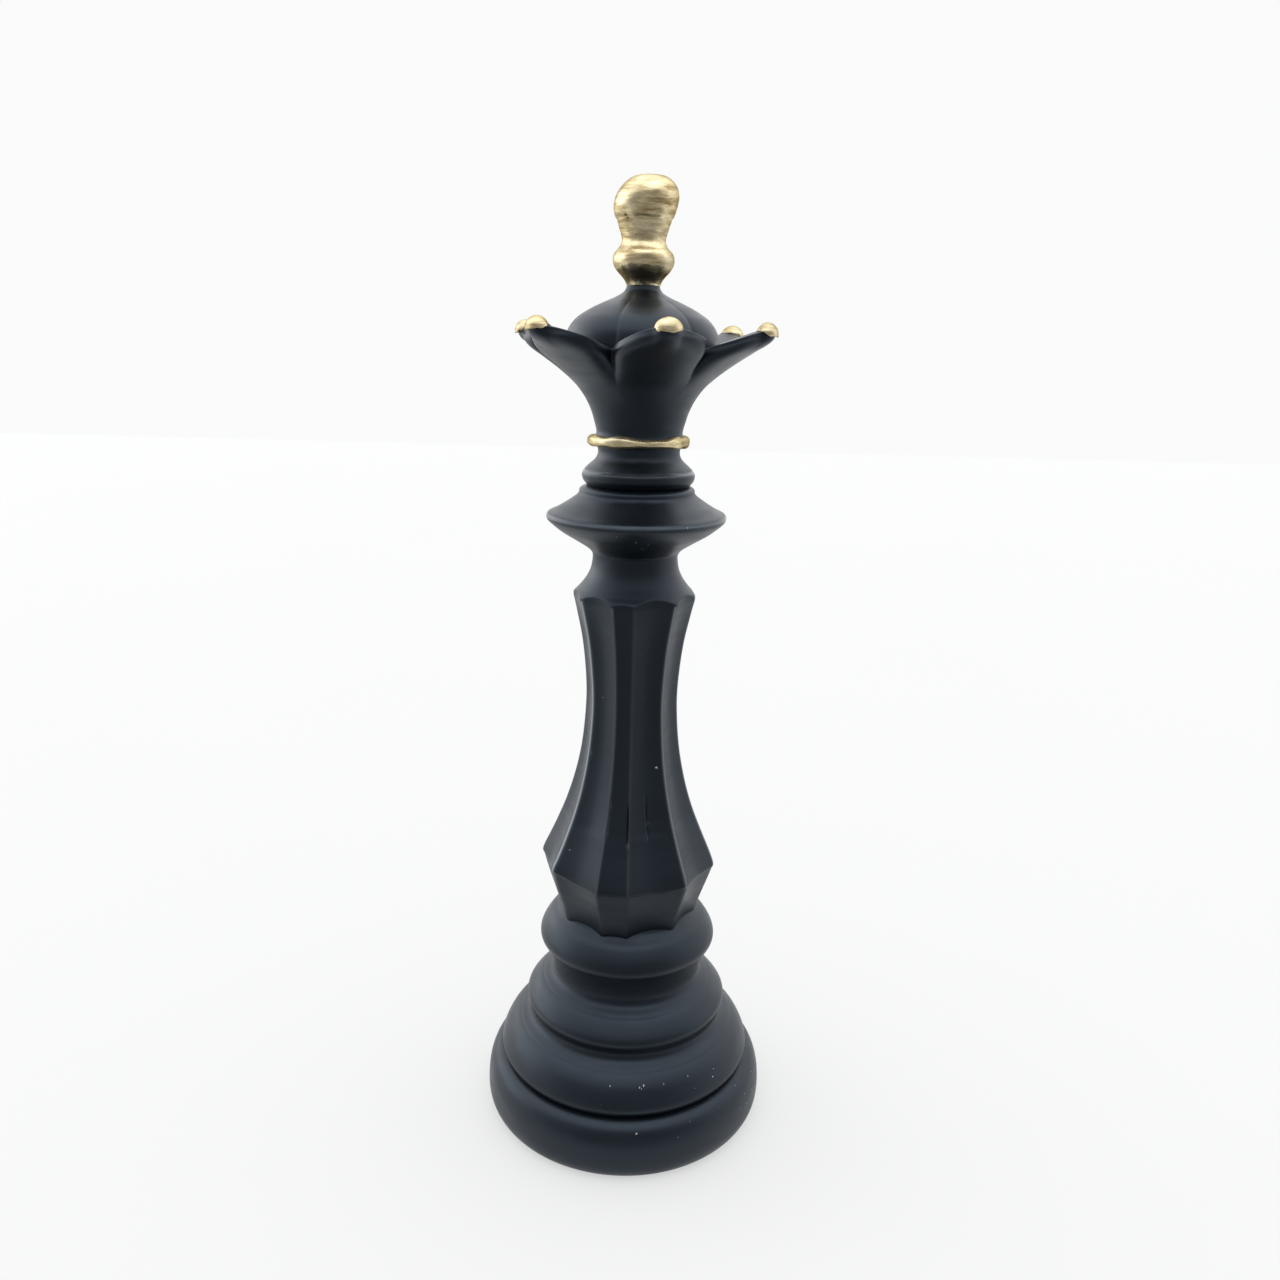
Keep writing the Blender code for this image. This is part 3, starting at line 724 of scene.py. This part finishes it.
# The upper surface along the middle of a point, by radius.
RIDGE_TOP = smooth_table([(25.6, 279.0), (28.0, 280.2), (35.0, 282.7), (38.0, 283.6), (43.6, 284.2)])
KNOB_CENTRE = (41.3, 282.5)
KNOB_SIZE = (3.2, 4.1, 3.6)  # along the point, across it, up
DOME_EDGE = 25.6


def point_shares():
    """Directions round the crown: (angle, share from a point's middle to the valley, side)."""
    steps = (0, 0.025, 0.05, 0.075, 0.1, 0.125, 0.15, 0.175, 0.2, 0.23, 0.27, 0.32, 0.38, 0.44,
             0.5, 0.56, 0.62, 0.68, 0.74, 0.8, 0.85, 0.9, 0.94, 0.97)
    shares = []
    for number in range(POINTS):
        middle = number * 360 / POINTS
        for share in steps[:0:-1]:
            shares.append((middle - share * HALF_POINT, share, -1))
        for share in (*steps, 1.0):
            shares.append((middle + share * HALF_POINT, share, 1))
    return shares


def share_at_rim(radius, side):
    """Where the rim's plan has a radius."""
    return between([(r, share) for share, r in reversed(RIM_PLAN[side])], radius)


def knob_top(radius, across):
    """The height of the knob's surface above a place, or below everything outside it."""
    along = (radius - KNOB_CENTRE[0]) / KNOB_SIZE[0]
    rest = 1 - along * along - (across / KNOB_SIZE[1]) ** 2
    if rest <= 0:
        return 0.0
    return KNOB_CENTRE[1] + KNOB_SIZE[2] * math.sqrt(rest)


def upper_surface(radius, share, side):
    """The crown's upper surface: each point is a low roof that ends in a knob."""
    rim_share = max(0.02, share_at_rim(radius, side))
    ridge = between(RIDGE_TOP, radius)
    edge = between(RIM_HEIGHT[side], rim_share)
    roof = ridge - (ridge - edge) * min(1.0, share / rim_share) ** 1.4
    across = radius * math.sin(math.radians(share * HALF_POINT))
    return max(roof, knob_top(radius, across))


def crown_outside(share, side, level):
    """(radius, height) on the outside, from 0 at the neck to 1 under the rim."""
    low = POINT_UNDERSIDE[0][0]
    rim = between(RIM_HEIGHT[side], share)
    rim -= between(((0, 1.5), (0.2, 1.2), (0.4, 0.6), (1, 0.3)), share)
    height = low + (rim - low) * level
    point = between(POINT_UNDERSIDE, height)
    valley = between(VALLEY_UNDERSIDE, height)
    free = valley + (point - valley) * (1 - share ** (7 - 3.6 * smooth_step(275, 280, height)))
    pull = max(0.0, (level - 0.8) / 0.2) ** 2
    return free + (between(RIM_PLAN[side], share) - free) * pull, height


def crown():
    """The flared cup that opens into six points round the dome."""
    shares = point_shares()
    levels = [0, 0.03, 0.06, 0.09, 0.12, 0.16] + [0.2 + 0.04 * step for step in range(15)]
    levels += [0.82, 0.85, 0.88, 0.91, 0.94, 0.96, 0.98, 1.0]
    rings = []
    for level in levels:
        ring = []
        for angle, share, side in shares:
            radius, height = crown_outside(share, side, level)
            radius += 0.15 * drift(angle, height, 41.0, 1.6)
            ring.append(at(angle, radius, height))
        rings.append(ring)
    for inset, drop in ((0.0, 0.35), (0.05, 0.12), (0.2, 0.0)):
        ring = []
        for angle, share, side in shares:
            radius = between(RIM_PLAN[side], share) - inset
            ring.append(at(angle, radius, upper_surface(radius, share, side) - drop))
        rings.append(ring)
    for step in range(1, 21):
        ring = []
        for angle, share, side in shares:
            rim = between(RIM_PLAN[side], share) - 0.2
            radius = rim + (DOME_EDGE - rim) * (step / 20) ** 1.25
            ring.append(at(angle, radius, upper_surface(radius, share, side)))
        rings.append(ring)
    rings += plain_rings([angle for angle, *_ in shares], [
        (25.5, 276.4), (25.5, DOME_SEAT), (19.7, DOME_SEAT), (11.0, BOWL_FLOOR),
        (ROD_HOLE, BOWL_FLOOR), (ROD_HOLE, CROWN_JOINT - SPIGOT_LENGTH),
        (UPPER_SPIGOT, CROWN_JOINT - SPIGOT_LENGTH), (UPPER_SPIGOT, CROWN_JOINT),
    ])
    add_piece("crown", ring_mesh("crown", rings), BLACK, "crown_cup")


def dome():
    """The lobed dome inside the crown. Its creases meet the valleys."""
    outline = curve_through([
        (25.2, DOME_SEAT + GAP), (25.2, 279.0), (24.3, 283.0), (21.7, 286.6), (17.6, 289.4),
        (13.2, 291.6), (9.0, 293.4), (6.4, 294.9), (5.5, 296.2), (5.3, FINIAL_JOINT),
    ])
    angles = evenly(240)
    rings = []
    for radius, height in outline:
        ring = []
        for angle in angles:
            share = abs((angle + HALF_POINT) % (2 * HALF_POINT) - HALF_POINT) / HALF_POINT
            full = min(1.0, max(0.0, (radius - 5.5) / 7.0))
            crease = 0.03 * share ** 3 + 0.008 * math.exp(-((1 - share) / 0.05) ** 2)
            r = radius * (1 - crease * full) + 0.15 * drift(angle, height, 47.0, 1.5)
            ring.append(at(angle, r, height))
        rings.append(ring)
    rings += plain_rings(angles, [
        (STUD_HOLE, FINIAL_JOINT), (STUD_HOLE, 286.0), (7.0, 286.0), (16.0, 282.5),
        (20.0, DOME_SEAT + GAP),
    ])
    add_piece("dome", ring_mesh("dome", rings), BLACK, "crown_dome")


def knob_point(turn, lon, polar, grow):
    """A point of a grown knob, turned from the front crown point to its own."""
    along = (KNOB_SIZE[0] + grow) * math.sin(polar) * math.cos(lon)
    across = (KNOB_SIZE[1] + grow) * math.sin(polar) * math.sin(lon)
    up = (KNOB_SIZE[2] + grow) * math.cos(polar)
    return tuple(turn @ Vector((across, -(KNOB_CENTRE[0] + along), KNOB_CENTRE[1] + up)))


def gilt_tips():
    """The brushed gold on each knob: a thin cap with an uneven lower edge."""
    around = 48
    rows = 16
    skin = 0.22
    for number in range(POINTS):
        turn = Matrix.Rotation(math.radians(number * 360 / POINTS), 4, "Z")
        edges = []
        for step in range(around):
            lon = 2 * math.pi * step / around
            spot = Vector((math.cos(lon) * 2, math.sin(lon) * 2, number * 3.3))
            ragged = 0.10 * noise.noise(spot)
            edges.append((lon, math.pi / 2 * (0.94 + 0.16 * math.cos(lon) + ragged)))
        rings = []
        for row in range(1, rows + 1):
            rings.append([knob_point(turn, lon, edge * row / rows, skin) for lon, edge in edges])
        rings.append([knob_point(turn, lon, edge, -0.2) for lon, edge in edges])
        rings.append([knob_point(turn, lon, edge * 0.5, -1.2) for lon, edge in edges])
        poles = (knob_point(turn, 0, 0, skin), knob_point(turn, 0, 0, -1.6))
        name = f"gilt_tip_{number + 1}"
        mesh = ring_mesh(name, rings, poles)
        add_piece(name, mesh, GOLD, f"crown_tip_{number + 1}")


# ---------------------------------------------------------------- finial

FINIAL_LEAN = -1.5  # how far left the knob's top leans; it is below zero, so the top leans right
LEAN_FROM = 317.0
SEAM_HEIGHT = 316.6


def finial():
    """The lopsided gilt knob on top, with a faint mould seam round it."""
    outline = curve_through([
        (0.8, TOTAL_HEIGHT - 0.05), (5.4, 329.2), (8.3, 327.0), (9.8, 324.2), (10.1, 321.2),
        (9.4, 318.2), (8.3, 315.6), (7.4, 312.6), (7.0, 310.2), (7.9, 308.3), (9.3, 306.7),
        (9.8, 305.0), (9.5, 303.0), (8.3, 301.1), (6.8, 299.5), (5.8, 298.2),
        (5.3, FINIAL_JOINT - SINK),
    ], step=0.4)
    angles = evenly(144)
    rings = []
    for radius, height in outline:
        ring = []
        for angle in angles:
            lean = FINIAL_LEAN * smooth_step(LEAN_FROM, TOTAL_HEIGHT, height)
            off_seam = height - SEAM_HEIGHT - 0.7 * drift(angle, 0, 60.0, 2.0)
            seam = 0.25 * math.exp(-(off_seam / 0.45) ** 2)
            lumps = 0.35 * drift(angle, height * 2, 53.0, 1.5)
            lumps += 0.1 * drift(angle, height * 5, 57.0, 3.0)
            r = radius + (lumps - seam) * min(1.0, radius / 5)
            ring.append(at(angle, r, height, leftwards(lean)))
        rings.append(ring)
    rings += plain_rings(angles, [
        (STUD_HOLE, FINIAL_JOINT), (STUD_HOLE, 311.3), (0.5, 312.4),
    ])
    top = (*leftwards(FINIAL_LEAN), TOTAL_HEIGHT)
    mesh = ring_mesh("gilt_finial", rings, poles=(top, (0, 0, 312.5)))
    add_piece("gilt_finial", mesh, GOLD, "finial")


def hidden_parts():
    """Finishes for the CAD nodes that stay as they are."""
    steel = zinc_steel()
    finishes = {
        "tie_rod": steel, "lower_nut": steel, "lower_washer": steel, "upper_nut": steel,
        "upper_washer": steel, "finial_stud": steel, "finial_nut": steel,
        "ballast_weight": cast_iron(), "base_plate": fibreboard(),
    }
    for node, material in finishes.items():
        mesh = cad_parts[node].data
        mesh.materials.clear()
        mesh.materials.append(material)


# ---------------------------------------------------------------- studio


def studio_floor():
    """A plain pale sheet. Its front edge is square to the photograph's view, before the queen."""
    half = 3.0
    front = 0.102
    sheet_turn = Matrix.Rotation(math.radians(-VIEW_TURN), 4, "Z")
    bm = bmesh.new()
    corners = [(-half, -front), (half, -front), (half, half), (-half, half)]
    bm.faces.new([bm.verts.new(sheet_turn @ Vector((x, y, 0))) for x, y in corners])
    mesh = bpy.data.meshes.new("floor")
    bm.to_mesh(mesh)
    bm.free()
    paper = Paint("white_paper")
    tone = paper.noise(6)
    paper.finish(
        Base_Color=paper.mix(tone, (0.248, 0.250, 0.249, 1), (0.254, 0.256, 0.255, 1)),
        Roughness=0.9, Specular_IOR_Level=0.1, Emission_Color=(0.99, 1.0, 0.995, 1),
        Emission_Strength=0.543,
    )
    mesh.materials.append(paper.material)
    floor = bpy.data.objects.new("floor", mesh)
    bpy.context.scene.collection.objects.link(floor)


def studio_light():
    """A white tent: bright above and all round, dim in front, with a lamp's glow at the back left."""
    world = bpy.data.worlds.new("tent")
    bpy.context.scene.world = world
    world.use_nodes = True
    world.node_tree.nodes.clear()
    sky = Nodes(world.node_tree)
    direction = sky.add("ShaderNodeTexCoord").outputs["Generated"]

    def along(axis):
        """How far a direction points along an axis."""
        node = sky.add("ShaderNodeVectorMath", operation="DOT_PRODUCT")
        sky.join(direction, node.inputs[0])
        node.inputs[1].default_value = axis
        return node.outputs["Value"]

    turn = math.radians(VIEW_TURN)
    up = along((0, 0, 1))
    behind = sky.ramp(along((math.sin(turn), math.cos(turn), 0)), -0.8, 0.1)
    all_round = sky.math("ADD", sky.math("MULTIPLY", up, 0.9), 1.15)
    in_front = sky.ramp(up, 0.45, 0.95, 0.38, 2.2)
    lamp_turn = turn + math.radians(24)
    lamp = sky.ramp(along((-math.cos(lamp_turn), math.sin(lamp_turn), 0.1)), 0.8, 0.97, 0.0, 1.3)
    glow = sky.math("ADD", sky.math("MULTIPLY", behind, all_round),
                    sky.math("MULTIPLY", sky.math("SUBTRACT", 1, behind), in_front))
    tent = sky.add("ShaderNodeBackground")
    tent.inputs["Color"].default_value = (1.0, 1.0, 1.0, 1)
    sky.join(sky.math("ADD", glow, lamp), tent.inputs["Strength"])

    # The tent's wall, as the camera sees it behind the queen.
    wall = sky.add("ShaderNodeBackground")
    wall.inputs["Color"].default_value = (0.985, 0.99, 0.988, 1)
    wall.inputs["Strength"].default_value = 0.972
    choice = sky.add("ShaderNodeMixShader")
    sky.join(sky.add("ShaderNodeLightPath").outputs["Is Camera Ray"], choice.inputs["Fac"])
    sky.join(tent.outputs["Background"], choice.inputs[1])
    sky.join(wall.outputs["Background"], choice.inputs[2])
    sky.join(choice.outputs["Shader"], sky.add("ShaderNodeOutputWorld").inputs["Surface"])


def camera():
    """The photograph's viewpoint: close, at the crown's height, looking down, tipped slightly."""
    distance = 0.353
    height = 0.2745
    pitch = math.radians(15)
    roll = math.radians(1.43)
    turn = math.radians(VIEW_TURN)
    data = bpy.data.cameras.new("camera")
    data.sensor_width = 36
    data.lens = 29.53125
    data.shift_x = 0.0045
    data.clip_start = 0.01
    data.clip_end = 20
    viewer = bpy.data.objects.new("camera", data)
    bpy.context.scene.collection.objects.link(viewer)
    aim = Matrix.Rotation(-turn, 4, "Z") @ Matrix.Rotation(math.pi / 2 - pitch, 4, "X")
    place = Matrix.Translation((-distance * math.sin(turn), -distance * math.cos(turn), height))
    viewer.matrix_world = place @ aim @ Matrix.Rotation(roll, 4, "Z")
    bpy.context.scene.camera = viewer


for make in (
    felt_pad, base_castings, fluted_column, collars, gilt_ring, crown, dome, gilt_tips, finial,
    hidden_parts, studio_floor, studio_light, camera,
):
    make()

bpy.context.scene.view_settings.view_transform = "Standard"
